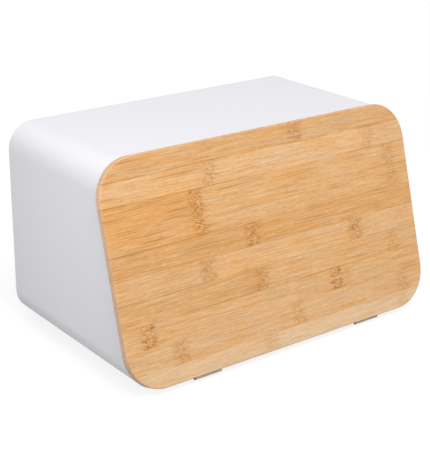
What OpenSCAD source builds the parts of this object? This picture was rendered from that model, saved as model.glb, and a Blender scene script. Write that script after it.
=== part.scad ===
// Bread box with a drop-down wooden door.
// A bent steel shell with a leaning front, closed by a board that turns on two
// small hinges at its lower edge. Millimetres; +Z is up, the door faces -Y, and
// the origin is the middle of the box on the surface that it stands on.

/* [Shell] */
// Width of the steel shell across its flat sides
shell_w = 360; // [280:1:440]
// Height of the steel shell, without its feet
shell_h = 202.5; // [160:0.5:250]
// Depth from the front of the door's lower edge to the back of the shell
depth = 223.5; // [180:0.5:280]
// Outer radius of the shell's four long corners
shell_r = 27; // [18:0.5:36]
// Thickness of the steel sheet
sheet_t = 1; // [0.6:0.1:1.4]
// Angle that the front leans back from upright
lean = 15.6; // [8:0.1:20]

/* [Front frame] */
// Width of the lip around the mouth, from the outside of the shell
lip_w = 14; // [12:0.5:20]
// Depth of the frame's flange along the inside of the shell
frame_depth = 7; // [4:0.5:12]
// Corner radius of the mouth
mouth_r = 16; // [8:0.5:24]

/* [Back panel] */
// Distance that the back panel lies inside the shell's back edge
back_recess = 6; // [3:0.5:12]
// Diameter of a vent hole
vent_d = 5; // [3:0.5:6]
// Distance between vent holes
vent_pitch = 12; // [9:0.5:16]
// Vent holes in a row
vent_columns = 11; // [3:2:15]
// Rows of vent holes
vent_rows = 3; // [1:1:4]
// Distance from the shell's top to the top row
vent_drop = 38; // [30:1:60]

/* [Door] */
// Thickness of the board
door_t = 8; // [6:0.5:12]
// Corner radius of the board
door_r = 38; // [26:0.5:45]
// Radius that eases the board's edges
door_edge_r = 1.2; // [0.6:0.1:1.8]
// How far the board stands out past each side of the shell
door_over_side = 5; // [2:0.5:10]
// How far the board stands out past the top of the shell
door_over_top = 1.5; // [0:0.5:6]
// How far the board's lower edge lies above the shell's underside
door_raise = 1.2; // [0.8:0.1:2]
// Gap between the closed board and the front frame
door_gap = 0.5; // [0.4:0.1:1]

/* [Hinges] */
// Distance from the middle of the box to the middle of a hinge
hinge_x = 100.5; // [60:0.5:120]
// Length of a hinge
hinge_l = 30; // [26:0.5:40]
// Length of the door leaf's knuckle
door_knuckle_l = 10.8; // [8:0.1:14]
// Outer radius of the knuckles
knuckle_r = 1.5; // [1.4:0.05:1.8]
// Radius of the hinge pin
pin_r = 0.75; // [0.6:0.05:0.9]
// Thickness of a hinge leaf
leaf_t = 0.8; // [0.6:0.1:1]
// Gap between the two leaves of the closed hinge
leaf_gap = 0.3; // [0.3:0.05:0.5]
// Distance of the hinge pin behind the front of the board's lower edge
hinge_setback = 2.2; // [2.2:0.1:3]
// Width of the body leaf under the shell
body_leaf_w = 20; // [15:0.5:30]
// Distance of the rivets behind the shell's front edge
hinge_rivet_back = 12; // [8:0.5:14]
// Distance of each screw and rivet from the middle of its hinge
hinge_screw_x = 9; // [7:0.5:11]
// Radius of the pin's head
pin_head_r = 1.35; // [1:0.05:1.4]
// Length of the pin's head
pin_head_l = 1.2; // [0.6:0.1:2]

/* [Magnets] */
// Distance from the middle of the box to a magnet
magnet_x = 120; // [60:1:130]
// Diameter of a magnet
magnet_d = 10; // [6:0.5:11]
// Thickness of a magnet
magnet_t = 3; // [2:0.5:4]
// How far a magnet stands out of the board
magnet_proud = 0.2; // [0:0.05:0.2]

/* [Feet] */
// Height of a foot
foot_h = 6; // [5:0.5:12]
// Diameter of a foot
foot_d = 20; // [16:0.5:26]
// Radius that rounds a foot's lower edge
foot_edge_r = 1.5; // [0.5:0.1:2.5]
// Distance from the shell's side to the middle of a foot
foot_inset_x = 48; // [40:1:70]
// Distance from the shell's front and back edges to the middle of a foot
foot_inset_y = 40; // [38:1:60]

/* [Fasteners] */
// Radius of a rivet's shank
rivet_r = 1.6; // [1.2:0.1:2]
// Radius of a rivet's head
rivet_head_r = 3.2; // [2.4:0.1:4]
// Height of a rivet's head
rivet_head_h = 1; // [0.6:0.1:1.4]
// Radius of the hole that a blind rivet's mandrel leaves in its head
rivet_hole_r = 0.8; // [0.5:0.1:1]
// Depth of that hole
rivet_hole_l = 2.5; // [1.5:0.1:3]
// Radius of a rivet's spread end inside the box
rivet_tail_r = 2.4; // [2:0.1:3]
// Height of a rivet's spread end
rivet_tail_h = 1.6; // [1:0.1:2.4]
// Radius of the washer over a foot's rivet head
washer_r = 5; // [4:0.1:6]
// Thickness of the washer
washer_t = 1; // [0.6:0.1:1.4]
// Radius of a wood screw's shank
screw_r = 1; // [0.8:0.1:1.2]
// Radius of a wood screw's head
screw_head_r = 1.7; // [1.4:0.1:2]
// Length of a wood screw
screw_l = 9; // [7:0.5:12]

/* [Hidden] */
$fn = 96;

weld_gap = 0.1;        // between a spot-welded flange and the sheet that it lies on
running_gap = 0.05;    // between the pin and the knuckles' bores
hole_gap = 0.1;        // between a fastener or magnet and its hole
knuckle_gap = 0.3;     // between one knuckle and the next
pocket_gap = 0.4;      // between the board's pocket and a moving leaf or knuckle
rivet_clear = 0.6;     // between a foot's rivet head and the worktop
rivet_taper = 0.4;     // how much a rivet's spread end narrows
screw_tip_r = 0.1;     // the blunt end of a screw's point
board_step = 0.5;      // the board is cut to a height in whole steps of this
past = 2;              // how far a cut runs out of what it cuts
bit_ratio = 1.01;      // radius of the easing bit, as a share of the round's
far = 2 * (shell_w + shell_h + depth);

floor_z = foot_h;                     // the shell's underside
top_z = floor_z + shell_h;
back_y = depth / 2;

// The sharp lower front corner of the board. The eased edge lies a little behind
// it, so it is set forward for the eased edge to give the stated depth.
door_corner_y = -depth / 2 - door_edge_r * (cos(lean) + sin(lean) - 1);
door_corner_z = floor_z + door_raise * cos(lean);

// In the leaning frame, y runs into the box and z up the slope, from that corner.
face_y = door_t + door_gap;           // the shell's cut edge and the frame's face
slope_bottom = face_y * tan(lean) - door_raise;      // underside, at the face
slope_top = slope_bottom + shell_h / cos(lean);      // top, at the face
door_w = shell_w + 2 * door_over_side;
door_h = round((slope_top + door_over_top) / board_step) * board_step;
mouth_w = shell_w - 2 * lip_w;
mouth_h = slope_top - slope_bottom - 2 * lip_w;
magnet_z = slope_top - (lip_w + sheet_t) / 2;

// Where the underside starts, at the shell's cut edge
shell_front_y = door_corner_y + face_y * cos(lean) + slope_bottom * sin(lean);

hinge_y = door_corner_y + hinge_setback;
hinge_z = floor_z + leaf_gap + leaf_t - knuckle_r;   // the door leaf leaves it at the top
bore_r = pin_r + running_gap;
notch_r = knuckle_r + pocket_gap;
door_leaf_end = door_t * cos(lean) - hinge_setback;  // how far it runs behind the pin
door_screw_y = hinge_y + (notch_r + door_leaf_end) / 2;
screw_sink_r = min(screw_head_r, (door_leaf_end - notch_r) / 2 - hole_gap);  // inside the leaf
screw_point_l = 2 * screw_r;
hinge_rivet_y = shell_front_y + hinge_rivet_back;

// The sphere whose cap is a rivet head of that radius and height
dome_r = (rivet_head_r * rivet_head_r + rivet_head_h * rivet_head_h) / (2 * rivet_head_h);
foot_bore_h = rivet_clear + rivet_head_h + washer_t;
foot_x = shell_w / 2 - foot_inset_x;
foot_front_y = shell_front_y + foot_inset_y;
foot_back_y = back_y - foot_inset_y;

// ---------- Shapes that repeat ----------

// A rectangle with round corners, about its middle
module rounded_rectangle(w, h, r) {
  square([w - 2 * r, h], center = true);
  square([w, h - 2 * r], center = true);
  for (x = [-1, 1], y = [-1, 1])
    translate([x * (w / 2 - r), y * (h / 2 - r)]) circle(r);
}

// The shell's outline, seen from the front, drawn this far inside its outer face
module shell_outline(inset = 0) {
  translate([0, (floor_z + top_z) / 2])
    rounded_rectangle(shell_w - 2 * inset, shell_h - 2 * inset, shell_r - inset);
}

// Pulls an outline in x and z from one y to the other
module along_y(from, to) {
  translate([0, to, 0]) rotate([90, 0, 0]) linear_extrude(to - from) children();
}

// Children drawn in the leaning frame of the door
module leaning() {
  translate([0, door_corner_y, door_corner_z]) rotate([-lean, 0, 0]) children();
}

// Everything between two depths in the leaning frame
module leaning_slab(from, to) {
  leaning() translate([-far / 2, from, -far / 2]) cube([far, to - from, far]);
}

// The concave corner that a router bit of this radius takes off an edge. The bit is
// a hair wider, so that the round meets the faces at a slight angle and not in a tangent.
module eased_corner(r) {
  difference() {
    translate([-past, -past]) square(r + past);
    translate([r, r]) circle(bit_ratio * r);
  }
}

// A board with round corners and eased edges, its lower edge on z = 0, its front on y = 0
module eased_board(w, h, t, r, ease) {
  translate([0, t / 2, h / 2]) rotate([90, 0, 0]) difference() {
    linear_extrude(t, center = true) rounded_rectangle(w, h, r);
    for (face = [0, 1]) mirror([0, 0, face]) translate([0, 0, -t / 2]) rim_cutter(w, h, r, ease);
  }
}

// The router's path round the lower face of a board: a straight run and a turn for each side
module rim_cutter(w, h, r, ease) {
  for (a = [0 : 90 : 270]) {
    across = (a % 180 == 0) ? w : h;
    along = (a % 180 == 0) ? h : w;
    rotate(a) translate([across / 2 - r, along / 2 - r, 0]) {
      translate([r, 0, 0]) rotate([90, 0, 0]) linear_extrude(along - 2 * r)
        mirror([1, 0]) eased_corner(ease);
      rotate_extrude(angle = 90) translate([r, 0]) mirror([1, 0]) eased_corner(ease);
    }
  }
}

// Children at the left and the right hinge
module at_hinge(side) {
  translate([side * hinge_x, hinge_y, hinge_z]) children();
}

// A length of knuckle about the hinge pin, from one x to the other
module barrel(r, from, to) {
  translate([from, 0, 0]) rotate([0, 90, 0]) cylinder(h = to - from, r = r);
}

// A blind rivet, its head below z = 0 and its shank through this grip
module rivet(grip) {
  difference() {
    union() {
      translate([0, 0, -rivet_head_h]) intersection() {
        translate([0, 0, dome_r]) sphere(dome_r);
        cylinder(h = rivet_head_h, r = dome_r);
      }
      cylinder(h = grip + rivet_tail_h, r = rivet_r);
      translate([0, 0, grip])
        cylinder(h = rivet_tail_h, r1 = rivet_tail_r, r2 = rivet_tail_r - rivet_taper);
    }
    translate([0, 0, -rivet_head_h - past]) cylinder(h = rivet_hole_l + past, r = rivet_hole_r);
  }
}

// A countersunk wood screw, its head flush with z = 0 and its point up
module wood_screw() {
  cylinder(h = leaf_t, r1 = screw_sink_r, r2 = screw_r);
  cylinder(h = screw_l - screw_point_l, r = screw_r);
  translate([0, 0, screw_l - screw_point_l])
    cylinder(h = screw_point_l, r1 = screw_r, r2 = screw_tip_r);
}

module at_hinge_rivets() {
  for (side = [-1, 1], x = [-1, 1])
    translate([side * hinge_x + x * hinge_screw_x, hinge_rivet_y, 0]) children();
}

module at_feet() {
  for (x = [-1, 1], y = [foot_front_y, foot_back_y]) translate([x * foot_x, y, 0]) children();
}

// ---------- Steel body ----------

module shell() {
  color("white") difference() {
    along_y(-depth / 2, back_y) shell_outline();
    along_y(-depth / 2 - past, back_y + past) shell_outline(sheet_t);
    leaning_slab(-far / 2, face_y);
    at_hinge_rivets() translate([0, 0, floor_z - past])
      cylinder(h = sheet_t + 2 * past, r = rivet_r + hole_gap);
    at_feet() translate([0, 0, floor_z - past])
      cylinder(h = sheet_t + 2 * past, r = rivet_r + hole_gap);
  }
}

// A pressed ring: a lip that the door closes on, and a flange welded inside the shell
module front_frame() {
  color("white") difference() {
    intersection() {
      along_y(-depth / 2, back_y) shell_outline(sheet_t + weld_gap);
      leaning_slab(face_y, face_y + frame_depth);
    }
    intersection() {
      along_y(-depth / 2, back_y) shell_outline(2 * sheet_t + weld_gap);
      leaning_slab(face_y + sheet_t, face_y + frame_depth + past);
    }
    leaning() translate([0, face_y + frame_depth, (slope_bottom + slope_top) / 2])
      rotate([90, 0, 0]) linear_extrude(frame_depth + past)
        rounded_rectangle(mouth_w, mouth_h, mouth_r);
  }
}

// A pressed tray: its rim points back and is welded inside the shell
module back_panel() {
  rim = sheet_t + weld_gap;
  color("white") difference() {
    along_y(back_y - back_recess - sheet_t, back_y) shell_outline(rim);
    along_y(back_y - back_recess, back_y + past) shell_outline(rim + sheet_t);
    for (column = [0 : vent_columns - 1], row = [0 : vent_rows - 1])
      translate([
        (column - (vent_columns - 1) / 2) * vent_pitch,
        back_y - back_recess + past,
        top_z - vent_drop - row * vent_pitch
      ]) rotate([90, 0, 0]) cylinder(h = sheet_t + 2 * past, d = vent_d);
  }
}

// ---------- Door ----------

module door_panel() {
  color("burlywood") difference() {
    leaning() eased_board(door_w, door_h, door_t, door_r, door_edge_r);
    for (side = [-1, 1]) at_hinge(side) hinge_pocket();
    for (side = [-1, 1]) leaning()
      translate([side * magnet_x, door_t + past, magnet_z]) rotate([90, 0, 0])
        cylinder(h = magnet_t - magnet_proud + past, d = magnet_d + 2 * hole_gap);
  }
}

// What the board gives way to at one hinge: leaf, knuckles, pin head and screws
module hinge_pocket() {
  translate([-hinge_l / 2 - pocket_gap, 0, -far / 2])
    cube([hinge_l + 2 * pocket_gap, far / 2, far / 2 + knuckle_r]);
  barrel(notch_r, -hinge_l / 2 - pin_head_l - pocket_gap, hinge_l / 2 + pocket_gap);
  for (x = [-1, 1]) translate([x * hinge_screw_x, door_screw_y - hinge_y, 0])
    cylinder(h = knuckle_r - leaf_t + screw_l + hole_gap, r = screw_r + hole_gap);
}

module magnet(side) {
  color("silver") leaning()
    translate([side * magnet_x, door_t + magnet_proud, magnet_z]) rotate([90, 0, 0])
      cylinder(h = magnet_t, d = magnet_d);
}

// ---------- Hinges ----------

module hinge_body_leaf(side) {
  leaf_back = shell_front_y + body_leaf_w - hinge_y;
  leaf_bottom = floor_z - leaf_t - hinge_z;
  door_span = door_knuckle_l / 2 + knuckle_gap;
  color("silver") at_hinge(side) difference() {
    union() {
      difference() {
        translate([-hinge_l / 2, 0, leaf_bottom]) cube([hinge_l, leaf_back, leaf_t]);
        translate([-door_span, -past, leaf_bottom - past])
          cube([2 * door_span, notch_r + past, leaf_t + 2 * past]);
      }
      barrel(knuckle_r, -hinge_l / 2, -door_span);
      barrel(knuckle_r, door_span, hinge_l / 2);
    }
    barrel(bore_r, -hinge_l / 2 - past, hinge_l / 2 + past);
    for (x = [-1, 1]) translate([x * hinge_screw_x, hinge_rivet_y - hinge_y, leaf_bottom - past])
      cylinder(h = leaf_t + 2 * past, r = rivet_r + hole_gap);
  }
}

module hinge_door_leaf(side) {
  half = door_knuckle_l / 2;
  color("silver") at_hinge(side) difference() {
    union() {
      translate([-half, 0, knuckle_r - leaf_t]) cube([2 * half, door_leaf_end, leaf_t]);
      translate([-hinge_l / 2, notch_r, knuckle_r - leaf_t])
        cube([hinge_l, door_leaf_end - notch_r, leaf_t]);
      barrel(knuckle_r, -half, half);
    }
    barrel(bore_r, -half - past, half + past);
    for (x = [-1, 1])
      translate([x * hinge_screw_x, door_screw_y - hinge_y, knuckle_r - leaf_t])
        cylinder(h = leaf_t, r1 = screw_sink_r + hole_gap, r2 = screw_r + hole_gap);
  }
}

module hinge_pin(side) {
  color("dimgray") at_hinge(side) {
    barrel(pin_r, -hinge_l / 2 - pin_head_l, hinge_l / 2);
    barrel(pin_head_r, -hinge_l / 2 - pin_head_l, -hinge_l / 2);
  }
}

module hinge_rivets() {
  color("silver") at_hinge_rivets()
    translate([0, 0, floor_z - leaf_t]) rivet(leaf_t + sheet_t);
}

module hinge_screws() {
  color("gray") for (side = [-1, 1], x = [-1, 1])
    translate([side * hinge_x + x * hinge_screw_x, door_screw_y, floor_z + leaf_gap])
      wood_screw();
}

// ---------- Feet ----------

module foot(x, y) {
  color("dimgray") translate([x, y, 0]) difference() {
    rotate_extrude() {
      square([foot_d / 2 - foot_edge_r, foot_h]);
      translate([0, foot_edge_r]) square([foot_d / 2, foot_h - foot_edge_r]);
      translate([foot_d / 2 - foot_edge_r, foot_edge_r]) circle(foot_edge_r);
    }
    translate([0, 0, -past]) cylinder(h = foot_bore_h + past, r = washer_r + hole_gap);
    translate([0, 0, -past]) cylinder(h = foot_h + 2 * past, r = rivet_r + hole_gap);
  }
}

module foot_washers() {
  color("silver") at_feet() translate([0, 0, foot_bore_h - washer_t]) difference() {
    cylinder(h = washer_t, r = washer_r);
    translate([0, 0, -past]) cylinder(h = washer_t + 2 * past, r = rivet_r + hole_gap);
  }
}

module foot_rivets() {
  color("silver") at_feet() translate([0, 0, foot_bore_h - washer_t])
    rivet(foot_h + sheet_t - foot_bore_h + washer_t);
}

shell();
front_frame();
back_panel();
door_panel();
hinge_body_leaf(-1);  // hinge_body_leaf_left
hinge_body_leaf(1);  // hinge_body_leaf_right
hinge_door_leaf(-1);  // hinge_door_leaf_left
hinge_door_leaf(1);  // hinge_door_leaf_right
hinge_pin(-1);  // hinge_pin_left
hinge_pin(1);  // hinge_pin_right
hinge_rivets();
hinge_screws();
magnet(-1);  // magnet_left
magnet(1);  // magnet_right
foot(-foot_x, foot_front_y);  // foot_front_left
foot(foot_x, foot_front_y);  // foot_front_right
foot(-foot_x, foot_back_y);  // foot_back_left
foot(foot_x, foot_back_y);  // foot_back_right
foot_washers();
foot_rivets();
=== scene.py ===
"""A bread box of bent steel sheet, closed by a bamboo board that drops down on two small hinges.

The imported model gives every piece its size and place. This script gives the pieces their finishes, soft
edges and small metal work, and adds the stage, the light and a camera at the photograph's viewpoint. Lengths
are in metres, but in millimetres in the board's finish, in the recipes and where a name ends in _mm.
"""

from __future__ import annotations

import logging
import math
from dataclasses import dataclass, field
from enum import Enum
from typing import Any, Sequence

import bmesh
import bpy
from bpy.types import ID, Material, Mesh, Object
from mathutils import Matrix, Vector

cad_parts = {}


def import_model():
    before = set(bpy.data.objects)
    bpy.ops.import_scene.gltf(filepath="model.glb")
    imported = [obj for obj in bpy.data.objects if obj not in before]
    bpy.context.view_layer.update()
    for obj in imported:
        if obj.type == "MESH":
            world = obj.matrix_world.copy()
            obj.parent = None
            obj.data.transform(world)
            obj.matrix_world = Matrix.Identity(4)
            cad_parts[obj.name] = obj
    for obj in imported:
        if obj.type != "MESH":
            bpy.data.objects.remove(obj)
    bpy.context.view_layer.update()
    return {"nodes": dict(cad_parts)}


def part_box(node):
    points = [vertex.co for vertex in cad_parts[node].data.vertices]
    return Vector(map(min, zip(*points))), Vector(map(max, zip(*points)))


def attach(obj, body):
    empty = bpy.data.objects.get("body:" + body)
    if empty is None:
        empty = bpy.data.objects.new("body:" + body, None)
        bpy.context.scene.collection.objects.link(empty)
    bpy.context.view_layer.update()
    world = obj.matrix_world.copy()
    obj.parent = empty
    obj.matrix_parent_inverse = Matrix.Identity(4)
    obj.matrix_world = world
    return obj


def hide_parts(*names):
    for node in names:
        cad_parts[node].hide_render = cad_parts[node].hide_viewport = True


LOG = logging.getLogger("bread_box")
MM = 0.001
SHARP = math.radians(32)

Pair = tuple[float, float]
Triple = tuple[float, float, float]
Colour = Triple
Rows = Sequence[Sequence[float]]


class Body(Enum):
    """What a piece moves with."""

    BOX = "box"
    DOOR = "door"


class Slot(Enum):
    """Names for the finishes of the pieces that this script makes."""

    COAT = "powder_coat"
    HINGE = "hinge_steel"
    PIN = "pin_steel"
    RIVET = "rivet_steel"
    SCREW = "screw_steel"
    MAGNET = "magnet_nickel"


def linear(red: int, green: int, blue: int) -> Colour:
    """Turns a colour as seen on a screen into the shader's linear values.

    Args:
        red: Red from 0 to 255.
        green: Green from 0 to 255.
        blue: Blue from 0 to 255.

    Returns:
        The three linear values from 0 to 1.
    """
    shares = [value / 255 for value in (red, green, blue)]
    return tuple(c / 12.92 if c <= 0.04045 else ((c + 0.055) / 1.055) ** 2.4 for c in shares)


# ---------- Shader maths ----------


class Signal:
    """A socket on its way through a material. Python's operators on it add Math nodes."""

    def __init__(self, graph: Graph, socket: bpy.types.NodeSocket) -> None:
        """Keeps the graph and the socket."""
        self.graph = graph
        self.socket = socket

    def __add__(self, other: Value) -> Signal:
        """Adds."""
        return self.graph.math("ADD", self, other)

    __radd__ = __add__

    def __sub__(self, other: Value) -> Signal:
        """Takes the other away."""
        return self.graph.math("SUBTRACT", self, other)

    def __rsub__(self, other: Value) -> Signal:
        """Takes this away from the other."""
        return self.graph.math("SUBTRACT", other, self)

    def __mul__(self, other: Value) -> Signal:
        """Multiplies."""
        return self.graph.math("MULTIPLY", self, other)

    __rmul__ = __mul__

    def __truediv__(self, other: Value) -> Signal:
        """Divides by the other."""
        return self.graph.math("DIVIDE", self, other)

    def __abs__(self) -> Signal:
        """The size without its sign."""
        return self.graph.math("ABSOLUTE", self)

    def floor(self) -> Signal:
        """The whole number below."""
        return self.graph.math("FLOOR", self)

    def rise(self, start: float, end: float) -> Signal:
        """A smooth step from 0 at start to 1 at end, or from 1 to 0 where end is the smaller."""
        low, high = min(start, end), max(start, end)
        first, last = (0.0, 1.0) if start < end else (1.0, 0.0)
        inputs = {"Value": self, "From Min": low, "From Max": high, "To Min": first, "To Max": last}
        return self.graph.node("ShaderNodeMapRange", inputs, {"interpolation_type": "SMOOTHSTEP"})


Value = Signal | float


class Graph:
    """The nodes of one tree."""

    def __init__(self, tree: bpy.types.NodeTree) -> None:
        """Keeps the tree."""
        self.tree = tree

    def node(
        self,
        kind: str,
        inputs: dict[Any, Any] | None = None,
        settings: dict[str, Any] | None = None,
        output: Any = 0,
    ) -> Signal:
        """Adds a node.

        Args:
            kind: The node's type.
            inputs: Values, signals or lists of signals by the socket's name or number.
            settings: Its properties, set before its sockets. "stops" are a ramp's positions and colours.
            output: The name or number of the output that is wanted.

        Returns:
            That output.
        """
        made = self.tree.nodes.new(kind)
        for key, value in (settings or {}).items():
            if key == "stops":
                self._set_stops(made.color_ramp, value)
            elif key == "ramp_interpolation":
                made.color_ramp.interpolation = value
            else:
                setattr(made, key, value)
        for key, value in (inputs or {}).items():
            for one in value if isinstance(value, list) else [value]:
                if isinstance(one, Signal):
                    self.tree.links.new(one.socket, made.inputs[key])
                else:
                    made.inputs[key].default_value = one
        return Signal(self, made.outputs[output])

    @staticmethod
    def _set_stops(ramp: bpy.types.ColorRamp, stops: Sequence[tuple[float, Sequence[float]]]) -> None:
        """Gives a ramp its stops, in rising order."""
        for position, _ in stops[len(ramp.elements) :]:
            ramp.elements.new(position)
        for element, (position, colour) in zip(ramp.elements, stops):
            element.position = position
            element.color = (*colour, 1.0)

    def math(self, operation: str, *values: Value) -> Signal:
        """Adds a Math node on one, two or three values."""
        return self.node("ShaderNodeMath", dict(enumerate(values)), {"operation": operation})

    def vector(self, operation: str, *values: Any, **named: Value) -> Signal:
        """Adds a Vector Math node that gives a vector."""
        inputs = {**dict(enumerate(values)), **named}
        return self.node("ShaderNodeVectorMath", inputs, {"operation": operation})

    def join(self, x: Value, y: Value, z: Value) -> Signal:
        """Makes a vector of three numbers."""
        return self.node("ShaderNodeCombineXYZ", {"X": x, "Y": y, "Z": z})

    def split(self, vector: Signal) -> list[Signal]:
        """Gives a vector's three numbers."""
        made = self.node("ShaderNodeSeparateXYZ", {"Vector": vector})
        return [Signal(self, socket) for socket in made.socket.node.outputs]


class Surface(Graph):
    """The nodes of one material."""

    def __init__(self, name: str) -> None:
        """Makes an empty material of that name."""
        self.material = bpy.data.materials.new(name)
        self.material.use_nodes = True
        self.material.node_tree.nodes.clear()
        super().__init__(self.material.node_tree)

    def place(self) -> Signal:
        """The point on the surface, in the object's own coordinates."""
        return self.node("ShaderNodeTexCoord", output="Object")

    def noise(self, vector: Signal, detail: float = 2.0, roughness: float = 0.5) -> Signal:
        """Smooth noise from about 0 to 1, one lump to each unit of the vector."""
        inputs = {"Vector": vector, "Scale": 1.0, "Detail": detail, "Roughness": roughness}
        return self.node("ShaderNodeTexNoise", inputs, output="Fac")

    def lumps(self, per_metre: float, detail: float = 2.0) -> Signal:
        """Noise with this many lumps to the metre, all ways."""
        return self.noise(self.vector("SCALE", self.place(), Scale=per_metre), detail)

    def swell(self, x: Value, y: Value, z: Value, detail: float = 1.0, roughness: float = 0.5) -> Signal:
        """Smooth noise about 0, at a place given by its three numbers."""
        return self.noise(self.join(x, y, z), detail, roughness) - 0.5

    def blend(self, share: Value, first: Any, second: Any) -> Signal:
        """Mixes two colours, each a signal or three numbers.

        Args:
            share: How much of the second, from 0 to 1.
            first: The colour at 0.
            second: The colour at 1.

        Returns:
            The mixed colour.
        """
        colours = [c if isinstance(c, Signal) else (*c, 1.0) for c in (first, second)]
        inputs = {"Factor": share, 6: colours[0], 7: colours[1]}
        return self.node("ShaderNodeMix", inputs, {"data_type": "RGBA"}, 2)

    def bump(self, height: Signal, distance: float, strength: float = 1.0) -> Signal:
        """Turns a height from 0 to 1 into a normal, where 1 stands that far out."""
        inputs = {"Height": height, "Distance": distance, "Strength": strength}
        return self.node("ShaderNodeBump", inputs, output="Normal")

    def finish(self, **inputs: Any) -> Material:
        """Adds the surface shader and the output.

        Args:
            inputs: Values or signals by the shader's socket name, with _ for a space.

        Returns:
            The finished material.
        """
        named = {key.replace("_", " "): value for key, value in inputs.items()}
        for key, value in named.items():
            if not isinstance(value, Signal) and key.endswith("Color"):
                named[key] = (*value, 1.0)
        shader = self.node("ShaderNodeBsdfPrincipled", named)
        out = self.tree.nodes.new("ShaderNodeOutputMaterial")
        self.tree.links.new(shader.socket, out.inputs["Surface"])
        return self.material


class Recipe(Graph):
    """A Geometry Nodes tree that makes one small thing in millimetres and sets a copy on every point."""

    def __init__(self, name: str) -> None:
        """Makes a tree that takes the points, a finish and the sizes that are asked for."""
        super().__init__(bpy.data.node_groups.new(name, "GeometryNodeTree"))
        self.sockets: dict[str, str] = {}
        self._source = self.tree.nodes.new("NodeGroupInput")
        self._add_input("Points", "NodeSocketGeometry")
        self._add_input("Finish", "NodeSocketMaterial")
        self.tree.interface.new_socket("Copies", in_out="OUTPUT", socket_type="NodeSocketGeometry")

    def _add_input(self, name: str, kind: str) -> Signal:
        """Adds a named input to the tree."""
        made = self.tree.interface.new_socket(name, in_out="INPUT", socket_type=kind)
        self.sockets[name] = made.identifier
        return Signal(self, self._source.outputs[name])

    def sizes(self, *names: str) -> list[Signal]:
        """Adds named sizes to the tree's inputs."""
        return [self._add_input(name, "NodeSocketFloat") for name in names]

    def moved(self, shape: Signal, z: Value) -> Signal:
        """Moves a shape along z."""
        inputs = {"Geometry": shape, "Translation": self.join(0.0, 0.0, z)}
        return self.node("GeometryNodeTransform", inputs)

    def cone(self, bottom: Value, top: Value, depth: Value, z: Value = 0.0, sides: int = 32) -> Signal:
        """A cone or cylinder that stands on this z."""
        inputs = {"Vertices": sides, "Radius Bottom": bottom, "Radius Top": top, "Depth": depth}
        return self.moved(self.node("GeometryNodeMeshCone", inputs), z)

    def ball(self, radius: Value, height: Value, z: Value, sides: int) -> Signal:
        """A ball about this z, of this radius, and squashed to this height above its middle."""
        inputs = {"Segments": sides, "Rings": sides // 2, "Radius": 1.0}
        sphere = self.node("GeometryNodeMeshUVSphere", inputs)
        scale = self.join(radius, radius, height)
        inputs = {"Geometry": sphere, "Scale": scale, "Translation": self.join(0.0, 0.0, z)}
        return self.node("GeometryNodeTransform", inputs)

    def block(self, x: Value, y: Value, z: Value) -> Signal:
        """A block about the origin."""
        return self.node("GeometryNodeMeshCube", {"Size": self.join(x, y, z)})

    def united(self, *shapes: Signal) -> Signal:
        """Fuses shapes that overlap."""
        settings = {"operation": "UNION", "solver": "EXACT"}
        return self.node("GeometryNodeMeshBoolean", {"Mesh 2": list(shapes)}, settings)

    def cut(self, shape: Signal, *tools: Signal) -> Signal:
        """Takes the tools away from a shape."""
        settings = {"operation": "DIFFERENCE", "solver": "EXACT"}
        return self.node("GeometryNodeMeshBoolean", {"Mesh 1": shape, "Mesh 2": list(tools)}, settings)

    def close(self, *shapes: Signal) -> None:
        """Sets the finished shapes on every point, makes them real and gives them the finish."""
        shape = self.node("GeometryNodeJoinGeometry", {"Geometry": list(shapes)})
        points, finish = self._source.outputs["Points"], self._source.outputs["Finish"]
        inputs = {"Points": Signal(self, points), "Instance": shape, "Scale": (MM, MM, MM)}
        copies = self.node("GeometryNodeInstanceOnPoints", inputs)
        real = self.node("GeometryNodeRealizeInstances", {"Geometry": copies})
        inputs = {"Geometry": real, "Material": Signal(self, finish)}
        painted = self.node("GeometryNodeSetMaterial", inputs)
        out = self.tree.nodes.new("NodeGroupOutput")
        self.tree.links.new(painted.socket, out.inputs[0])

    def serve(self, name: str, points: list[Vector], finish: Material, sizes: dict[str, float]) -> Object:
        """Runs the tree.

        Args:
            name: The new piece's name.
            points: Where the copies go.
            finish: Their material.
            sizes: The tree's sizes by name, in metres.

        Returns:
            One plain mesh that holds every copy.
        """
        dots = bpy.data.meshes.new(name + "_points")
        dots.from_pydata([tuple(point) for point in points], [], [])
        holder = shown(name + "_points", dots)
        run = holder.modifiers.new("recipe", "NODES")
        run.node_group = self.tree
        run[self.sockets["Finish"]] = finish
        for key, value in sizes.items():
            run[self.sockets[key]] = value / MM
        mesh = baked_mesh(holder, name)
        smooth_by_angle(mesh)
        bpy.data.objects.remove(holder)
        mesh.materials.clear()
        mesh.materials.append(finish)
        mesh.polygons.foreach_set("material_index", [0] * len(mesh.polygons))
        return shown(name, mesh)


def baked_mesh(source: Object, name: str) -> Mesh:
    """The mesh that an object's modifiers make."""
    view = bpy.context.evaluated_depsgraph_get()
    view.update()
    mesh = bpy.data.meshes.new_from_object(source.evaluated_get(view), depsgraph=view)
    mesh.name = name
    return mesh


def smooth_by_angle(mesh: Mesh) -> None:
    """Shades a mesh smooth but for its sharp edges."""
    mesh.shade_smooth()
    mesh.set_sharp_from_angle(angle=SHARP)


def shown(name: str, data: ID) -> Object:
    """Puts a mesh, a light or a camera into the scene as an object at the origin."""
    made = bpy.data.objects.new(name, data)
    bpy.context.scene.collection.objects.link(made)
    return made


# ---------- The door's board ----------


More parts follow.
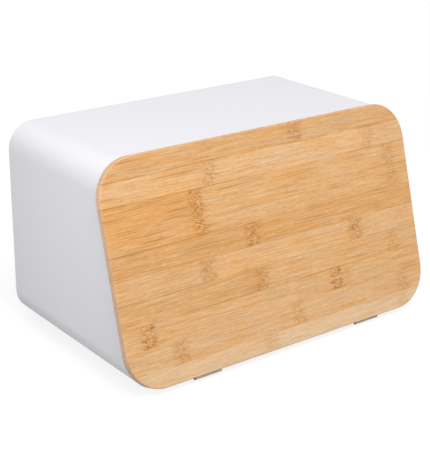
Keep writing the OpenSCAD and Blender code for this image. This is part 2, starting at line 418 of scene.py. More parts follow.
@dataclass(frozen=True)
class BoardPlane:
    """The board's leaning frame: x along it, y into the box and z up the slope, from its lower front edge."""

    lean: float = math.radians(15.6)
    height: float = 213 * MM
    ease: float = 1.2 * MM

    def corner(self) -> Vector:
        """The middle of the board's lower front edge before it was eased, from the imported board's box."""
        low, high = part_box("door_panel")
        eased = self.ease * (math.cos(self.lean) + math.sin(self.lean) - 1)
        return Vector((0, low[1] - eased, high[2] - self.height * math.cos(self.lean) + eased))

    def mapped_mm(self, graph: Surface) -> Signal:
        """Object coordinates turned into this frame, in millimetres."""
        turn = Matrix.Rotation(self.lean, 3, "X")
        inputs = {
            "Vector": graph.place(),
            "Scale": (1 / MM, 1 / MM, 1 / MM),
            "Rotation": (self.lean, 0, 0),
            "Location": -(turn @ self.corner()) / MM,
        }
        return graph.node("ShaderNodeMapping", inputs, {"vector_type": "POINT"})


@dataclass(frozen=True)
class Joint:
    """A joint of the bamboo culm, where it crosses a strip.

    Attributes:
        place_mm: Distance from the middle of the board.
        strength: How dark it is, from 0 to 1.
    """

    place_mm: float
    strength: float


@dataclass(frozen=True)
class Strip:
    """One strip of the laminated board, with the lengths that its joints divide it into.

    Attributes:
        shades_and_painted_sheen: How pale each length is, from -2 to 2, left to right: its own tone, and
            painted light that makes the lowest strip and the right-hand lengths paler.
        warmths_and_painted_sheen: How orange each length is, from -2 to 2: its own tone, and a painted
            reflection of the pale floor that cools the lowest strip.
        seam: How dark the seam along its lower edge is, at the left, the middle and the right.
        joints: The joints from left to right, at most three.
    """

    shades_and_painted_sheen: Triple
    warmths_and_painted_sheen: Triple
    seam: Triple
    joints: tuple[Joint, ...]


# From the lower edge of the board to its upper edge. Shades and warmths hold each length's own tone and
# painted light: a painted floor sheen on the lowest strip, and lighter right-hand lengths.
STRIPS = (
    Strip((1.4, 2.0, 2.0), (-1.2, -1.7, -2.0), (0.0, 0.0, 0.0), (Joint(-23, 0.4), Joint(153, 0.3))),
    Strip(
        (-0.3, 0.3, 0.6),
        (-0.3, -0.2, -0.3),
        (0.15, 0.25, 0.3),
        (Joint(-126, 0.5), Joint(14, 0.45), Joint(156, 0.45)),
    ),
    Strip((0.0, 0.2, 0.4), (0.0, -0.1, 0.0), (0.0, 0.05, 0.5), (Joint(-158, 1.0), Joint(68, 1.0))),
    Strip((-0.9, 0.5, 0.3), (0.3, 0.0, -0.1), (0.25, 0.8, 0.15), (Joint(-24, 0.7), Joint(149, 0.4))),
    Strip((-0.2, 1.2, 1.0), (0.0, -0.1, -0.2), (0.8, 0.3, 0.35), (Joint(-84, 0.65), Joint(101, 0.85))),
    Strip((-1.2, -0.4, -0.4), (0.6, 0.5, 0.5), (0.3, 0.35, 0.4), (Joint(-27, 0.8),)),
    Strip((0.1, 0.7, 0.6), (0.7, 0.1, -0.1), (0.8, 0.3, 0.35), (Joint(-85, 1.0), Joint(162, 0.4))),
    Strip((0.0, 0.9, 0.8), (1.1, 0.1, -0.1), (0.1, 0.0, 0.1), (Joint(-85, 0.95), Joint(159, 0.5))),
    Strip((1.6, 1.9, 1.2), (0.0, -0.3, -0.4), (0.9, 0.15, 0.5), (Joint(-66, 0.6), Joint(134, 0.4))),
    Strip((-0.2, -0.3, -0.3), (0.2, -0.1, -0.1), (0.8, 0.1, 0.8), (Joint(41, 0.55),)),
)


@dataclass(frozen=True)
class Fibres:
    """One size of fibre, as noise drawn out along the strip, and what it adds to the wood's look."""

    length: float
    width: float
    tone: float = 0.0
    warmth: float = 0.0
    height: float = 0.0
    detail: float = 1.0


CLOUDS = Fibres(60, 7, tone=0.1, warmth=2.8)
BANDS = Fibres(60, 3.2, tone=0.24, warmth=-2.2, detail=2)
STREAKS = Fibres(32, 0.8, tone=0.58, warmth=-2.4, height=0.5, detail=2)
THREADS = Fibres(14, 0.4, tone=0.44, warmth=-1.0, height=0.4)
FLECKS = Fibres(6, 0.8, tone=0.34, warmth=-1.0)


@dataclass(frozen=True)
class FineMarks:
    """Thin marks on the crests of fine fibres, in the patches where coarser ones are high.

    A crest and a patch each hold the noise at which they start and at which they are full.
    """

    fine: Fibres
    crest: Pair
    coarse: Fibres
    patch: Pair


VEINS = FineMarks(Fibres(80, 1), (0.05, 0.2), Fibres(60, 6), (-0.1, 0.12))
PORES = FineMarks(Fibres(5, 0.24, detail=0), (0.12, 0.22), Fibres(18, 3), (-0.05, 0.15))


@dataclass(frozen=True)
class Grain:
    """The run of the fibres: how far along them, how deep and how far across them a point lies."""

    graph: Surface
    run: Signal
    depth: Signal
    across: Signal

    def noise(self, size: Fibres) -> Signal:
        """The fibres of one size, about 0."""
        depth, across = self.depth / size.width, self.across / size.width
        return self.graph.swell(self.run / size.length, depth, across, size.detail)

    def marks(self, kind: FineMarks) -> Signal:
        """Where thin marks lie, from 0 to 1."""
        return self.noise(kind.fine).rise(*kind.crest) * self.noise(kind.coarse).rise(*kind.patch)


@dataclass(frozen=True)
class JointMarks:
    """The ladder of short dashes at a joint, dark and pale by turns, with a fan of longer ones on one side.

    The ladder, the stained ground, the fan and the shadow on its other side each hold where they end and are
    full, from the joint. A dash is a length and a height. Dark is its strength in the ladder and the fan.
    """

    sway: float = 10.0
    ladder: Pair = (9.5, 3.5)
    ground: Pair = (12.0, 4.0)
    fan: Pair = (24.0, 6.0)
    shadow: Pair = (-22.0, -6.0)
    dash: Pair = (3.6, 1.15)
    long_dash: Pair = (12.0, 1.2)
    dark: Pair = (0.76, 0.34)
    pale: float = 0.5

    def build(self, graph: Surface, offset: Signal, strip: Signal, up: Signal) -> list[Signal]:
        """Adds the marks.

        Args:
            graph: The material.
            offset: Signed distance from the joint.
            strip: The strip's number.
            up: Height on the board.

        Returns:
            How stained, how dark and how pale the wood is there, each from 0 to 1.
        """
        sway = graph.swell(up / 8, strip * 4.1, 0.0)
        jag = graph.swell(up / 1.4, strip * 6.7, offset / 20)
        across = offset + (sway + jag) * self.sway
        length, height = self.dash
        dash = graph.swell(offset / length, strip * 2.3, (up + offset * 0.2) / height, 2, 0.6)
        length, height = self.long_dash
        long_dash = graph.swell(offset / length, strip * 3.9, up / height)
        blotch = graph.swell(offset / 6, strip * 8.9, up / 4, 2).rise(-0.15, 0.15)

        ladder = abs(across).rise(*self.ladder)
        fan = across.rise(0, 5) * offset.rise(*self.fan)
        shadow = offset.rise(*self.shadow) * offset.rise(2, -4)
        stain = abs(across).rise(*self.ground) * (blotch * 0.24 + 0.18) + fan * blotch * 0.12 + shadow * 0.1
        in_ladder, in_fan = self.dark
        dark = dash.rise(-0.03, 0.15) * ladder * in_ladder + long_dash.rise(0.02, 0.16) * fan * in_fan
        pale = dash.rise(-0.05, -0.19) * ladder * self.pale
        return [stain, dark, pale]


@dataclass(frozen=True)
class BambooFinish:
    """Oiled bamboo, laminated of strips that run across the door.

    Attributes:
        plane: The board's leaning frame.
        strip_width: Width of a full strip.
        lowest_cut: What was cut off the lowest one.
        far_joint: Where the joints that a strip lacks are put, past the board's end.
        most: The largest shade or warmth of a length.
        shade_step: What a shade of 1 adds to the brightness.
        change: Where the look of a strip changes, from a joint.
        drift: Length, depth and height of the lumps in which the fibres leave their line.
        drift_plain: How far they leave it.
        drift_more: How much further near a joint.
        bend: How far from a joint that ends and is full.
        warm: The wood at its warmest.
        cool: The wood at its coolest, and also the tint of the painted floor sheen on the lowest strip.
        vein: Veins and seams.
        stain: The ground of a joint.
        scar: Its dark dashes.
        pith: Its pale dashes.
        end: The cut ends of the fibres: their own colour, made paler and greyer with painted light that the
            white shell throws on them.
        end_grain: Where the end grain starts and is full, from the middle of the board.
        thickness: Thickness of the board.
        face_skin: Where the end grain starts and is full, below a face.
        seam_width: How far from its line a seam ends and is full.
        joint: The marks at a joint.
    """

    plane: BoardPlane = field(default_factory=BoardPlane)
    strip_width: float = 22.0
    lowest_cut: float = 5.0
    far_joint: float = 400.0
    most: float = 2.0
    shade_step: float = 0.045
    change: Pair = (-3.0, 5.0)
    drift: Triple = (16.0, 5.0, 6.0)
    drift_plain: float = 0.6
    drift_more: float = 2.0
    bend: Pair = (22.0, 3.0)
    warm: Colour = linear(211, 153, 86)
    cool: Colour = linear(207, 174, 136)
    vein: Colour = linear(164, 104, 20)
    stain: Colour = linear(188, 124, 42)
    scar: Colour = linear(146, 86, 14)
    pith: Colour = linear(240, 196, 140)
    end: Colour = linear(206, 173, 146)
    end_grain: Pair = (150.0, 177.0)
    thickness: float = 8.0
    face_skin: Pair = (0.2, 1.1)
    seam_width: Pair = (1.1, 0.2)
    joint: JointMarks = JointMarks()

    def build(self) -> Material:
        """Makes the material. Its noises shift by odd amounts from strip to strip, so no two are alike."""
        graph = Surface("oiled_bamboo")
        along, depth, up = graph.split(self.plane.mapped_mm(graph))
        strip = ((up + self.lowest_cut) / self.strip_width).floor()
        row = (strip + 0.5) / len(STRIPS)
        # The lengths' own tones, with painted light and a painted floor sheen in them.
        shade, warmth = self._lengths(along, row)
        offset, strength = self._nearest_joint(along, row)

        long, deep, high = self.drift
        drift = graph.swell(along / long + strip * 9.1, depth / deep, up / high)
        drift = drift * (abs(offset).rise(*self.bend) * self.drift_more + self.drift_plain)
        grain = Grain(graph, along + strip * 137, depth, up + drift)
        fibres = {size: grain.noise(size) for size in (CLOUDS, BANDS, STREAKS, THREADS, FLECKS)}
        veins = grain.marks(VEINS) * (warmth.rise(-0.6, 1.0) * 0.6 + 0.4)
        pores = grain.marks(PORES)
        seams = self._seams(graph, up, along)
        marks = [mark * strength for mark in self.joint.build(graph, offset, strip, up)]
        ends = self._cut_ends(along, depth)
        seams = seams * (1 - ends * 0.5)

        warmth = sum((noise * size.warmth for size, noise in fibres.items()), warmth)
        tone = sum((noise * size.tone for size, noise in fibres.items()), shade * self.shade_step)
        colour = graph.blend(warmth.rise(-2.1, 1.6), self.cool, self.warm)
        # The edges' colour: the cut ends' own colour, with painted light from the white shell in it.
        colour = graph.blend(ends * 0.8, colour, self.end)
        colour = graph.vector("SCALE", colour, Scale=tone - pores * 0.12 + 1)
        paints = (self.vein, self.vein, self.stain, self.scar, self.pith)
        for share, paint in zip((veins * 0.9, seams * 0.7, *marks), paints):
            colour = graph.blend(share, colour, paint)

        scar = marks[1]
        raised = fibres[THREADS] * THREADS.height + fibres[STREAKS] * STREAKS.height
        height = raised - seams * 0.4 - scar * 0.35 - pores * 0.5 + 0.5
        rough = 0.5 + fibres[STREAKS] * 0.2 + scar * 0.08
        normal = graph.bump(height, 0.1 * MM, 0.5)
        return graph.finish(Base_Color=colour, Roughness=rough, Normal=normal, IOR=1.45)

    def _cut_ends(self, along: Signal, depth: Signal) -> Signal:
        """1 on the board's left and right edges, where the fibres are cut across, and 0 on its faces."""
        start, full = self.face_skin
        on_edge = depth.rise(start, full) * depth.rise(self.thickness - start, self.thickness - full)
        return on_edge * abs(along).rise(*self.end_grain)

    def _row_ramp(self, row: Signal, values: Rows) -> list[Signal]:
        """Three numbers from 0 to 1 for each strip, kept as the colours of a stepped ramp."""
        stops = [(i / len(values), value) for i, value in enumerate(values)]
        settings = {"stops": stops, "ramp_interpolation": "CONSTANT"}
        return row.graph.split(row.graph.node("ShaderNodeValToRGB", {"Fac": row}, settings))

    def _signed_ramp(self, row: Signal, values: Rows, most: float) -> list[Signal]:
        """Three numbers from -most to most for each strip."""
        kept = [[(value / most + 1) / 2 for value in one] for one in values]
        return [(value * 2 - 1) * most for value in self._row_ramp(row, kept)]

    def _joint_places(self, row: Signal) -> list[Signal]:
        """Where each strip's three joints are. One that the strip lacks lies past the board's end."""
        rows = [[j.place_mm for j in s.joints] + [self.far_joint] * (3 - len(s.joints)) for s in STRIPS]
        return self._signed_ramp(row, rows, self.far_joint)

    def _lengths(self, along: Signal, row: Signal) -> list[Signal]:
        """The shade and warmth of the strip's length that the point lies in, with painted light and painted
        sheen included.
        """
        first, second, _ = self._joint_places(row)
        past_first = (along - first).rise(*self.change)
        past_second = (along - second).rise(*self.change)
        found = []
        for values in ([s.shades_and_painted_sheen for s in STRIPS], [s.warmths_and_painted_sheen for s in STRIPS]):
            left, middle, right = self._signed_ramp(row, values, self.most)
            found.append(left + (middle - left) * past_first + (right - middle) * past_second)
        return found

    def _nearest_joint(self, along: Signal, row: Signal) -> tuple[Signal, Signal]:
        """The signed distance from the nearest joint of the strip, and that joint's strength."""
        kept = [[j.strength for j in s.joints] + [0.0] * (3 - len(s.joints)) for s in STRIPS]
        strengths = self._row_ramp(row, kept)
        offsets = [along - place for place in self._joint_places(row)]
        offset, strength = offsets[0], strengths[0]
        for other, its_strength in zip(offsets[1:], strengths[1:]):
            closer = along.graph.math("LESS_THAN", abs(other), abs(offset))
            offset = offset + (other - offset) * closer
            strength = strength + (its_strength - strength) * closer
        return offset, strength

    def _seams(self, graph: Surface, up: Signal, along: Signal) -> Signal:
        """The thin lines where strips meet, each as dark as the strip above it says, and broken in places."""
        turn = (up + self.lowest_cut) / self.strip_width
        line = (turn + 0.5).floor()
        left, middle, right = self._row_ramp((line + 0.5) / len(STRIPS), [s.seam for s in STRIPS])
        strength = middle + (left - middle) * along.rise(-40, -150) + (right - middle) * along.rise(30, 150)
        wander = graph.swell(along / 26, line * 5.3, 0.0, 2) * 1.6
        off = abs((turn - line) * self.strip_width + wander)
        whole = graph.swell(along / 30, line * 3.7, 0.0, 2).rise(-0.15, 0.1)
        return off.rise(*self.seam_width) * strength * (whole * 0.75 + 0.25)


# ---------- Metal and rubber ----------


@dataclass(frozen=True)
class PowderCoat:
    """White powder coat on steel, with the fine orange skin that such a coat has."""

    colour: Colour = (0.695, 0.69, 0.722)
    roughness: float = 0.42
    lump: float = 0.9 * MM
    height: float = 0.012 * MM
    patches_per_metre: float = 9.0

    def build(self) -> Material:
        """Makes the material."""
        graph = Surface("powder_coat")
        rough = self.roughness + (graph.lumps(self.patches_per_metre) - 0.5) * 0.05
        normal = graph.bump(graph.lumps(1 / self.lump), self.height, 0.5)
        return graph.finish(Base_Color=self.colour, Roughness=rough, Normal=normal, IOR=1.5)


@dataclass(frozen=True)
class PlainMetal:
    """Bare or plated metal with fine drawing lines, and clouds where it is tarnished."""

    name: str
    colour: Colour
    roughness: float
    lines_per_metre: Triple = (300, 4000, 4000)
    clouds_per_metre: float = 250.0
    tarnished: float = 0.86

    def build(self) -> Material:
        """Makes the material."""
        graph = Surface(self.name)
        line = graph.noise(graph.vector("MULTIPLY", graph.place(), self.lines_per_metre), 2)
        cloud = graph.lumps(self.clouds_per_metre)
        dull = tuple(c * self.tarnished for c in self.colour)
        colour = graph.blend(cloud.rise(0.35, 0.75), self.colour, dull)
        rough = self.roughness + (line - 0.5) * 0.2 + (cloud - 0.5) * 0.1
        normal = graph.bump(line, 0.01 * MM, 0.4)
        return graph.finish(Base_Color=colour, Metallic=1.0, Roughness=rough, Normal=normal)


@dataclass(frozen=True)
class MouldedRubber:
    """Matt dark rubber with a dusty bloom."""

    colour: Colour = (0.035, 0.035, 0.037)
    dust: Colour = (0.09, 0.09, 0.09)
    roughness: float = 0.75
    bloom_per_metre: float = 180.0
    grain_per_metre: float = 2500.0

    def build(self) -> Material:
        """Makes the material."""
        graph = Surface("moulded_rubber")
        bloom = graph.lumps(self.bloom_per_metre, 3)
        colour = graph.blend(bloom.rise(0.45, 0.8) * 0.5, self.colour, self.dust)
        rough = self.roughness + (bloom - 0.5) * 0.2
        normal = graph.bump(graph.lumps(self.grain_per_metre), 0.03 * MM, 0.5)
        return graph.finish(Base_Color=colour, Roughness=rough, Normal=normal)


# ---------- Floor, light and camera ----------


@dataclass(frozen=True)
class Viewpoint:
    """Where the photograph was taken from, and how its frame lies on the view.

    Attributes:
        azimuth: Degrees round the box from its front, to the right.
        elevation: Degrees above the horizon.
        roll: Degrees that the camera is turned about its own axis.
        distance: From the camera to the target.
        target: The point on the lens's axis that the other values are counted from.
        focal_px: Focal length in the photograph's pixels.
        axis_px: Where the lens's axis meets the photograph.
        frame_px: The photograph's width and height.
        sensor_mm: Length of the sensor that stands for the frame's long side.
    """

    azimuth: float = -36.225
    elevation: float = 19.95
    roll: float = 0.033
    distance: float = 1.2366
    target: Triple = (-0.01376, 0.03118, 0.10832)
    focal_px: float = 1203.7
    axis_px: Pair = (194.01, 209.07)
    frame_px: tuple[int, int] = (430, 465)
    sensor_mm: float = 36.0

    def place(self) -> Object:
        """Makes the camera and makes it the scene's."""
        turn, lift = math.radians(self.azimuth), math.radians(self.elevation)
        back = Vector((math.sin(turn) * math.cos(lift), -math.cos(turn) * math.cos(lift), math.sin(lift)))
        right = Vector((math.cos(turn), math.sin(turn), 0))
        axes = Matrix((right, back.cross(right), back)).transposed()
        data = bpy.data.cameras.new("viewpoint")
        camera = shown("viewpoint", data)
        camera.matrix_world = (axes @ Matrix.Rotation(math.radians(self.roll), 3, "Z")).to_4x4()
        camera.location = Vector(self.target) + back * self.distance
        long_side = max(self.frame_px)
        data.sensor_width = self.sensor_mm
        data.lens = self.focal_px * self.sensor_mm / long_side
        data.shift_x = (self.frame_px[0] / 2 - self.axis_px[0]) / long_side
        data.shift_y = (self.axis_px[1] - self.frame_px[1] / 2) / long_side
        bpy.context.scene.camera = camera
        return camera


class LampKind(Enum):
    """Blender's types of light that the studio uses."""

    PANEL = "AREA"
    SKY_PATCH = "SUN"


@dataclass(frozen=True)
class Lamp:
    """A light of the studio: a panel that hangs near the box, or a patch of sky far away.

    Attributes:
        name: The light's name.
        kind: A panel or a patch of sky.
        place: Where it hangs. Only the direction from the target counts for a patch of sky.
        power: Watts for a panel, watts to the square metre for a patch of sky.
        size: Width and height of a panel.
        spread: Degrees that a patch of sky covers.
        target: The point that it is turned to.
    """

    name: str
    kind: LampKind
    place: Triple
    power: float
    size: Pair = (1.0, 1.0)
    spread: float = 60.0
    target: Triple = (0, 0, 0.1)

    def hang(self) -> None:
        """Makes the light and turns it to its target."""
        data = bpy.data.lights.new(self.name, self.kind.value)
        data.energy = self.power
        if self.kind is LampKind.PANEL:
            data.shape = "RECTANGLE"
            data.size, data.size_y = self.size
        else:
            data.angle = math.radians(self.spread)
        light = shown(self.name, data)
        light.location = self.place
        light.rotation_euler = (Vector(self.target) - light.location).to_track_quat("-Z", "Y").to_euler()


@dataclass(frozen=True)
class Studio:
    """A plain pale floor that is lit from below like a photographer's table, under soft light.

    Attributes:
        floor_size: Length of the floor's sides.
        floor_colour: What it sends back of the light above it.
        floor_glow: The light that comes through it.
        backdrop_height: Height of the white walls at the floor's edges, which only the camera sees.
        backdrop_glow: Their brightness.
        sky: Brightness of the light from all round, which the floor lets through.
        white: The colour of the glow.
        lamps: The lamps above the floor.
    """

    floor_size: float = 14.0
    floor_colour: Colour = (0.25, 0.25, 0.25)
    floor_glow: float = 0.76
    backdrop_height: float = 7.0
    backdrop_glow: float = 1.0
    sky: float = 0.2
    white: Colour = (1.0, 1.0, 1.0)
    lamps: tuple[Lamp, ...] = (
        Lamp("sky_front", LampKind.SKY_PATCH, (0, -2.12, 2.22), 2.48),
        Lamp("sky_above", LampKind.SKY_PATCH, (0, -0.26, 3.1), 0.25),
        Lamp("sky_behind", LampKind.SKY_PATCH, (0.74, 2.76, 1.03), 0.8, spread=80),
        Lamp("sky_right", LampKind.SKY_PATCH, (2.78, -0.49, 1.13), 0.3, spread=80),
        Lamp("low_behind", LampKind.SKY_PATCH, (2.0, 2.2, -1.2), 2.2, spread=30),
        Lamp("above_door", LampKind.PANEL, (-0.1, -0.55, 1.1), 3.5, (0.7, 0.5)),
        Lamp(
            "upper_left",
            LampKind.PANEL,
            (-0.48, -0.12, 0.35),
            0.24,
            (0.25, 0.25),
            target=(-0.18, -0.08, 0.15),
        ),
        Lamp("left", LampKind.PANEL, (-0.6, -0.02, 0.2), 1.07, (0.4, 0.4), target=(-0.18, -0.05, 0.12)),
    )

    def build(self) -> None:
        """Makes the floor, the backdrop, the sky and the lights."""
        half = self.floor_size / 2
        low = [(x * half, y * half, 0) for x, y in ((-1, -1), (1, -1), (1, 1), (-1, 1))]
        high = [(x, y, self.backdrop_height) for x, y, _ in low]
        self._sheet("floor", low, [(0, 1, 2, 3)], self.floor_colour, self.floor_glow)
        walls = [(i, i + 4, (i + 1) % 4 + 4, (i + 1) % 4) for i in range(4)]
        backdrop = self._sheet("backdrop", low + high, walls, (0, 0, 0), self.backdrop_glow)
        backdrop.visible_glossy = False
        world = bpy.data.worlds.new("sky")
        world.use_nodes = True
        background = world.node_tree.nodes["Background"]
        background.inputs["Color"].default_value = (1, 1, 1, 1)
        background.inputs["Strength"].default_value = self.sky
        bpy.context.scene.world = world
        for lamp in self.lamps:
            lamp.hang()
        view = bpy.context.scene.view_settings
        view.view_transform = "Standard"
        view.look = "None"

    def _sheet(
        self, name: str, points: list[Triple], faces: list[tuple[int, ...]], colour: Colour, glow: float
    ) -> Object:
        """Makes a glowing sheet of the stage, which sends the box no light and throws no shadow on it."""
        mesh = bpy.data.meshes.new(name)
        mesh.from_pydata(points, [], faces)
        sheet = shown(name, mesh)
        inputs = {"Roughness": 0.9, "Specular_IOR_Level": 0.1, "Emission_Color": self.white}
        surface = Surface("glowing_" + name)
        mesh.materials.append(surface.finish(Base_Color=colour, Emission_Strength=glow, **inputs))
        sheet.visible_diffuse = False
        sheet.visible_shadow = False
        return sheet


# ---------- The pieces ----------


def dress(node: Object, material: Material) -> None:
    """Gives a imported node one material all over.

    Args:
        node: The node's object.
        material: Its finish.
    """
    if not node.material_slots:
        node.data.materials.append(None)
    for slot in node.material_slots:
        slot.link = "OBJECT"
        slot.material = material
    LOG.info("%s: %s", node.name, material.name)


def settle(piece: Object, body: Body, slot: Slot, *nodes: str) -> None:
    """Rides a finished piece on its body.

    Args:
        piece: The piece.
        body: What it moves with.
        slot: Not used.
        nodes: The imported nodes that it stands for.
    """
    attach(piece, body.value)
    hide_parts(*nodes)
    LOG.info("%s: %d faces, for %s", piece.name, len(piece.data.polygons), ", ".join(nodes))


@dataclass(frozen=True)
class EdgeBreak:
    """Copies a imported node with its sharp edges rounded, as a tumbled or coated edge is.

    Attributes:
        width: How wide the rounding is.
        steps: Faces across the rounding.
        flat: Faces that meet at less than this are made one.
        same: Corners that are nearer than this are made one.
    """

    width: float
    steps: int = 2
    flat: float = math.radians(0.2)
    same: float = 0.001 * MM

    def copy(self, node: Object, name: str, material: Material) -> Object:
        """Makes the copy.

        Args:
            node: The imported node.
            name: The copy's name.
            material: Its finish.

        Returns:
            The copy, a plain mesh at the origin.
        """
        work = bmesh.new()
        work.from_mesh(node.data)
        bmesh.ops.remove_doubles(work, verts=work.verts, dist=self.same)
        bmesh.ops.dissolve_limit(work, angle_limit=self.flat, verts=work.verts, edges=work.edges)
        mesh = bpy.data.meshes.new(name + "_merged")
        work.to_mesh(mesh)
        work.free()
        smooth_by_angle(mesh)
        mesh.materials.clear()
        mesh.materials.append(material)
        holder = shown(name + "_merged", mesh)
        bevel = holder.modifiers.new("edge", "BEVEL")
        bevel.width = self.width
        bevel.segments = self.steps
        bevel.limit_method = "ANGLE"
        bevel.angle_limit = SHARP
        level = holder.modifiers.new("level_flats", "WEIGHTED_NORMAL")
        level.weight = 100
        level.keep_sharp = True
        made = baked_mesh(holder, name)
        bpy.data.objects.remove(holder)
        return shown(name, made)


@dataclass
class SteelBody:
    """The powder-coated sheet parts: the bent shell, the ring in its mouth and the pressed back.

    Attributes:
        nodes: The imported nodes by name.
        coat: Their finish.
        edge: How the coat rounds their edges.
        bend: Radius of the shell's bends outside. The other parts' bends have the same axes.
        near: A face belongs to a bend if its normal is this near to the bend's, as a cosine.
    """

    nodes: dict[str, Object]
    coat: Material
    edge: EdgeBreak = EdgeBreak(0.22 * MM)
    bend: float = 27 * MM
    near: float = math.cos(math.radians(8))

    def build(self) -> None:
        """Makes the three parts with their edges rounded by the coat."""
        for name in ("shell", "front_frame", "back_panel"):
            piece = self.edge.copy(self.nodes[name], "coated_" + name, self.coat)
            self._shade_bends(piece.data)
            settle(piece, Body.BOX, Slot.COAT, name)

    def _shade_bends(self, mesh: Mesh) -> None:
        """Gives the faces of the four bends the normals of true cylinders along y, so that no facet shows."""
        low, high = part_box("shell")
        middle, reach = (low + high) / 2, (high - low) / 2
        normals = [corner.vector.copy() for corner in mesh.corner_normals]
        for face in mesh.polygons:
            for corner in face.loop_indices:
                place = mesh.vertices[mesh.loops[corner].vertex_index].co - middle
                past_x = max(abs(place.x) - reach.x + self.bend, 0)
                past_z = max(abs(place.z) - reach.z + self.bend, 0)
                if not (past_x and past_z):
                    continue
                ray = Vector((math.copysign(past_x, place.x), 0, math.copysign(past_z, place.z))).normalized()
                facing = face.normal.dot(ray)
                if abs(facing) > self.near:
                    normals[corner] = ray * math.copysign(1, facing)
        mesh.normals_split_custom_set(normals)


@dataclass
class Hinges:
    """The two small hinges: leaves with curled knuckles, and a headed pin in each."""

    nodes: dict[str, Object]
    plate: Material
    wire: Material
    edge: EdgeBreak = EdgeBreak(0.12 * MM)

    def build(self) -> None:
        """Makes the leaves and pins of both hinges."""
        for side in ("left", "right"):
            for body, leaf in ((Body.BOX, "hinge_body_leaf_"), (Body.DOOR, "hinge_door_leaf_")):
                piece = self.edge.copy(self.nodes[leaf + side], "plated_" + leaf + side, self.plate)
                settle(piece, body, Slot.HINGE, leaf + side)
            pin = self.edge.copy(self.nodes["hinge_pin_" + side], "drawn_hinge_pin_" + side, self.wire)
            settle(pin, Body.BOX, Slot.PIN, "hinge_pin_" + side)


def rivet_sizes() -> dict[str, float]:
    """The sizes of a blind rivet, in the order in which its recipe takes them."""
    return {
        "Head Radius": 3.2 * MM,
        "Head Height": 1 * MM,
        "Shank Radius": 1.6 * MM,
        "Tail Radius": 2.4 * MM,
        "Tail Height": 1.6 * MM,
        "Hole Radius": 0.8 * MM,
        "Hole Depth": 2.5 * MM,
    }


def screw_sizes() -> dict[str, float]:
    """The sizes of a wood screw below its head, in the order in which its recipe takes them."""
    return {"Shank Radius": 1 * MM, "Length": 9 * MM, "Point": 2 * MM}


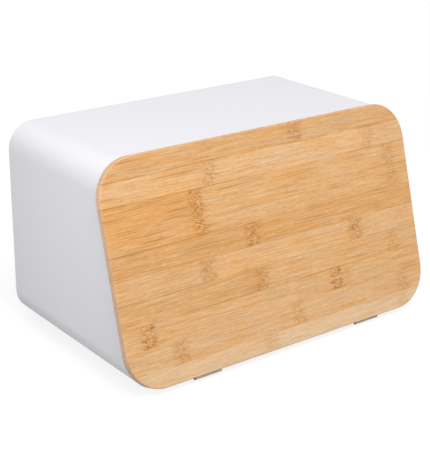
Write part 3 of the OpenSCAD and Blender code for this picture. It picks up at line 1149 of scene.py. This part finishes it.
@dataclass
class Fasteners:
    """The blind rivets of the hinges and feet, the washers under them and the door's wood screws.

    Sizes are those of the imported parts, which the recess and the thread stay inside.
    """

    nodes: dict[str, Object]
    rivet_metal: Material
    screw_metal: Material
    from_hinge_middle: float = 9 * MM
    leaf: float = 0.8 * MM
    sheet: float = 1 * MM
    rivet: dict[str, float] = field(default_factory=rivet_sizes)
    screw: dict[str, float] = field(default_factory=screw_sizes)
    screw_turns: float = 8.0
    edge: EdgeBreak = EdgeBreak(0.15 * MM)

    def build(self) -> None:
        """Makes every fastener."""
        rivet = self._rivet_recipe()
        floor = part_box("shell")[0].z
        y = self._middle("hinge_rivets").y
        places = [Vector((x, y, floor - self.leaf)) for x in self._hinge_places()]
        self._add_rivets(rivet, "blind_hinge_rivets", "hinge_rivets", places, self.leaf + self.sheet)

        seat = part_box("foot_washers")[0].z
        feet = ("foot_front_left", "foot_front_right", "foot_back_left", "foot_back_right")
        places = [self._middle(foot).xy.to_3d() + Vector((0, 0, seat)) for foot in feet]
        self._add_rivets(rivet, "blind_foot_rivets", "foot_rivets", places, floor + self.sheet - seat)

        washers = self.edge.copy(self.nodes["foot_washers"], "pressed_foot_washers", self.rivet_metal)
        settle(washers, Body.BOX, Slot.RIVET, "foot_washers")

        low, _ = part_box("hinge_screws")
        y = self._middle("hinge_screws").y
        places = [Vector((x, y, low.z)) for x in self._hinge_places()]
        sizes = {"Head Radius": y - low.y, "Head Height": self.leaf, **self.screw}
        screws = self._screw_recipe().serve("cross_head_screws", places, self.screw_metal, sizes)
        settle(screws, Body.DOOR, Slot.SCREW, "hinge_screws")

    def _middle(self, node: str) -> Vector:
        """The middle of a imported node's box."""
        low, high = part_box(node)
        return (low + high) / 2

    def _hinge_places(self) -> list[float]:
        """Where the fasteners of both hinges lie along the box."""
        middles = [self._middle("hinge_body_leaf_" + side).x for side in ("left", "right")]
        return [middle + way * self.from_hinge_middle for middle in middles for way in (-1, 1)]

    def _add_rivets(self, recipe: Recipe, name: str, node: str, places: list[Vector], grip: float) -> None:
        """Sets a row of rivets, whose heads lie under the given places."""
        row = recipe.serve(name, places, self.rivet_metal, {**self.rivet, "Grip": grip})
        settle(row, Body.BOX, Slot.RIVET, node)

    def _rivet_recipe(self) -> Recipe:
        """A blind rivet: a domed head below z = 0, a shank, a swollen tail and the broken mandrel."""
        r = Recipe("blind_rivet")
        head_radius, head_height, shank, tail_radius, tail_height, hole, hole_depth = r.sizes(*self.rivet)
        tail_middle = r.sizes("Grip")[0] + tail_height * 0.5
        upper = r.moved(r.block(head_radius * 3, head_radius * 3, head_height * 2), head_height)
        head = r.cut(r.ball(head_radius, head_height, 0.0, 48), upper)
        stem = r.cone(shank, shank, tail_middle + head_height * 0.2, head_height * -0.2)
        bulb = r.ball(tail_radius, tail_height * 0.5, tail_middle, 32)
        drill = r.cone(hole, hole, hole_depth + head_height, head_height * -2, 24)
        body = r.cut(r.united(head, stem, bulb), drill)
        stub = r.cone(hole * 0.9, hole * 0.9, hole_depth * 0.6, head_height * -0.45, 24)
        r.close(body, stub)
        return r

    def _screw_recipe(self) -> Recipe:
        """A countersunk wood screw with a cross recess, its head flush with z = 0 and its point up."""
        r = Recipe("wood_screw")
        head_radius, head_height, shank, length, point = r.sizes("Head Radius", "Head Height", *self.screw)
        core = shank * 0.74
        head = r.cone(head_radius, shank, head_height)
        stem = r.cone(core, core, length - point - head_height * 0.5, head_height * 0.5)
        tip = r.cone(core, core * 0.12, point, length - point)
        depth = head_height * 1.1
        long_slot = r.block(head_radius * 1.25, head_radius * 0.3, depth)
        cross_slot = r.block(head_radius * 0.3, head_radius * 1.25, depth)
        body = r.cut(r.united(head, stem, tip), long_slot, cross_slot)
        rise = length - point - head_height * 1.4
        inputs = {"Resolution": 16, "Rotations": self.screw_turns, "Start Radius": core, "End Radius": core}
        helix = r.node("GeometryNodeCurveSpiral", {**inputs, "Height": rise})
        inputs = {"Resolution": 4, "Radius": (shank - core) * 0.6}
        wedge = r.node("GeometryNodeCurvePrimitiveCircle", inputs)
        inputs = {"Curve": helix, "Profile Curve": wedge, "Fill Caps": True}
        thread = r.node("GeometryNodeCurveToMesh", inputs)
        r.close(body, r.moved(thread, head_height * 1.2))
        return r


def main() -> None:
    """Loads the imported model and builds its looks."""
    logging.basicConfig(level=logging.INFO, format="%(name)s: %(message)s")
    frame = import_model()
    nodes = frame["nodes"]

    Viewpoint().place()
    Studio().build()

    bamboo = BambooFinish().build()
    coat = PowderCoat().build()
    plate = PlainMetal("dull_plate", (0.38, 0.345, 0.3), 0.4).build()
    wire = PlainMetal("dark_wire", (0.16, 0.15, 0.14), 0.42).build()
    nickel = PlainMetal("nickel_plate", (0.72, 0.69, 0.64), 0.16).build()
    rubber = MouldedRubber().build()

    SteelBody(nodes, coat).build()
    Hinges(nodes, plate, wire).build()
    Fasteners(nodes, plate, plate).build()
    dress(nodes["door_panel"], bamboo)
    for side in ("left", "right"):
        magnet = EdgeBreak(0.3 * MM, 3).copy(nodes["magnet_" + side], "disc_magnet_" + side, nickel)
        settle(magnet, Body.DOOR, Slot.MAGNET, "magnet_" + side)
        for row in ("front", "back"):
            dress(nodes[f"foot_{row}_{side}"], rubber)


if __name__ == "__main__":
    main()
